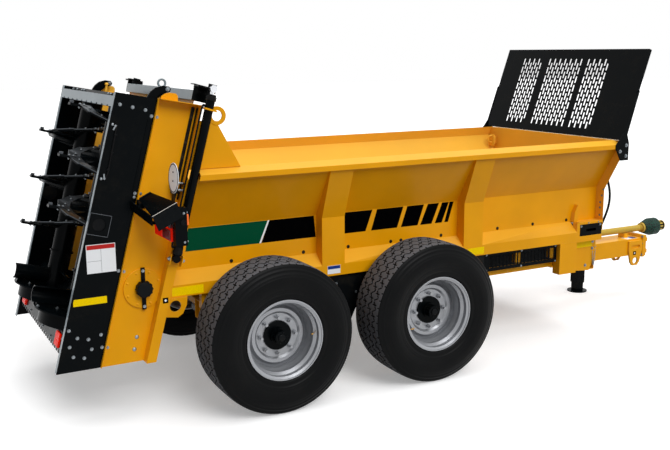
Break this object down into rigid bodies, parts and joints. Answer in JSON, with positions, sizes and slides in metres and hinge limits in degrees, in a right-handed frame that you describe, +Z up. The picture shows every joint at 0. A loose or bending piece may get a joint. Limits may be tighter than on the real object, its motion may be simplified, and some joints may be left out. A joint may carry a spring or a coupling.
{
  "type": "tandem axle rear discharge manure spreader",
  "caption": "Towed manure spreader: open flared body with a floor conveyor, sliding rear door, two upright spinning beaters, tandem wheels, drawbar, parking jack and front screen.",
  "frame": {"origin": "on the ground under the middle of the whole machine", "axes": "+X forward along the drawbar, +Y to the left, +Z up"},
  "size_m": [6.7562, 2.52, 2.6047],
  "materials": {
    "yellow_paint": "gloss enamel, warm golden yellow",
    "black_paint": "gloss black enamel",
    "grey_paint": "pale grey enamel",
    "rim_silver": "silver wheel paint",
    "tyre_rubber": "matt black tyre rubber",
    "hose_rubber": "black hose rubber",
    "chain_steel": "bare steel chain and slats",
    "rod_chrome": "hard chrome",
    "lamp_red": "red lens",
    "guard_yellow": "dull yellow guard plastic",
    "guard_green": "dark green guard plastic"
  },
  "bodies": {
    "frame": {"axle_front": "yellow_paint", "axle_rear": "yellow_paint", "beater_gears": "black_paint", "chassis_frame": "yellow_paint", "conveyor_shaft_front": "chain_steel", "conveyor_shaft_rear": "chain_steel", "door_cylinders": "black_paint", "drawbar": "yellow_paint", "drive_covers": "black_paint", "drive_line": "yellow_paint", "floor_conveyor": "chain_steel", "front_column_left": "yellow_paint", "front_column_right": "yellow_paint", "front_hoses": "hose_rubber", "front_trays": "black_paint", "front_wall": "yellow_paint", "hitch_head": "yellow_paint", "housing_plate_left": "black_paint", "housing_plate_right": "black_paint", "housing_roof": "black_paint", "housing_trim": "grey_paint", "jack_sleeve": "yellow_paint", "lamp_board": "black_paint", "lamp_guards": "black_paint", "leaf_springs_left": "black_paint", "leaf_springs_right": "black_paint", "load_floor": "yellow_paint", "mesh_guards": "black_paint", "pto_cone": "guard_green", "pto_guard": "guard_yellow", "rail_gussets": "yellow_paint", "rear_post_left": "yellow_paint", "rear_post_right": "yellow_paint", "screen_arms": "black_paint", "screen_panel": "black_paint", "side_wall_left": "yellow_paint", "side_wall_right": "yellow_paint", "tail_lamps": "lamp_red"},
    "wheel_front_left": {"tyre_front_left": "tyre_rubber", "rim_front_left": "rim_silver", "hub_front_left": "black_paint"},
    "wheel_front_right": {"tyre_front_right": "tyre_rubber", "rim_front_right": "rim_silver", "hub_front_right": "black_paint"},
    "wheel_rear_left": {"tyre_rear_left": "tyre_rubber", "rim_rear_left": "rim_silver", "hub_rear_left": "black_paint"},
    "wheel_rear_right": {"tyre_rear_right": "tyre_rubber", "rim_rear_right": "rim_silver", "hub_rear_right": "black_paint"},
    "beater_left": {"beater_left": "black_paint"},
    "beater_right": {"beater_right": "black_paint"},
    "door": {"door_panel": "yellow_paint", "door_beam": "grey_paint", "door_arms": "black_paint", "door_rods": "rod_chrome"},
    "pto_yoke": {"pto_yoke": "black_paint"},
    "jack_tube": {"jack_tube": "black_paint"},
    "jack_leg": {"jack_leg": "black_paint"}
  },
  "joints": [
    {"name": "wheel_front_left_spin", "type": "hinge", "parent": "frame", "child": "wheel_front_left", "pos_m": [-0.45495, 1.05, 0.562], "axis": [0, 1, 0], "continuous": true},
    {"name": "wheel_front_right_spin", "type": "hinge", "parent": "frame", "child": "wheel_front_right", "pos_m": [-0.45495, -1.05, 0.562], "axis": [0, 1, 0], "continuous": true},
    {"name": "wheel_rear_left_spin", "type": "hinge", "parent": "frame", "child": "wheel_rear_left", "pos_m": [-1.78895, 1.05, 0.562], "axis": [0, 1, 0], "continuous": true},
    {"name": "wheel_rear_right_spin", "type": "hinge", "parent": "frame", "child": "wheel_rear_right", "pos_m": [-1.78895, -1.05, 0.562], "axis": [0, 1, 0], "continuous": true},
    {"name": "beater_left_spin", "type": "hinge", "parent": "frame", "child": "beater_left", "pos_m": [-2.90211, 0.4, 1.36893], "axis": [0.2595, 0, 0.9657], "continuous": true},
    {"name": "beater_right_spin", "type": "hinge", "parent": "frame", "child": "beater_right", "pos_m": [-2.90211, -0.4, 1.36893], "axis": [0.2595, 0, 0.9657], "continuous": true},
    {"name": "door_lift", "type": "slide", "parent": "frame", "child": "door", "axis": [0.2595, 0, 0.9657], "range_m": [0, 0.9]},
    {"name": "pto_spin", "type": "hinge", "parent": "frame", "child": "pto_yoke", "pos_m": [3.37805, 0, 0.7], "axis": [1, 0, 0], "continuous": true},
    {"name": "jack_tube_lift", "type": "slide", "parent": "frame", "child": "jack_tube", "axis": [0, 0, 1], "range_m": [0, 0.3]},
    {"name": "jack_leg_lift", "type": "slide", "parent": "jack_tube", "child": "jack_leg", "axis": [0, 0, 1], "range_m": [0, 0.075]}
  ],
  "couplings": [
    {"joint": "beater_right_spin", "follows": "beater_left_spin", "ratio": -1}
  ]
}
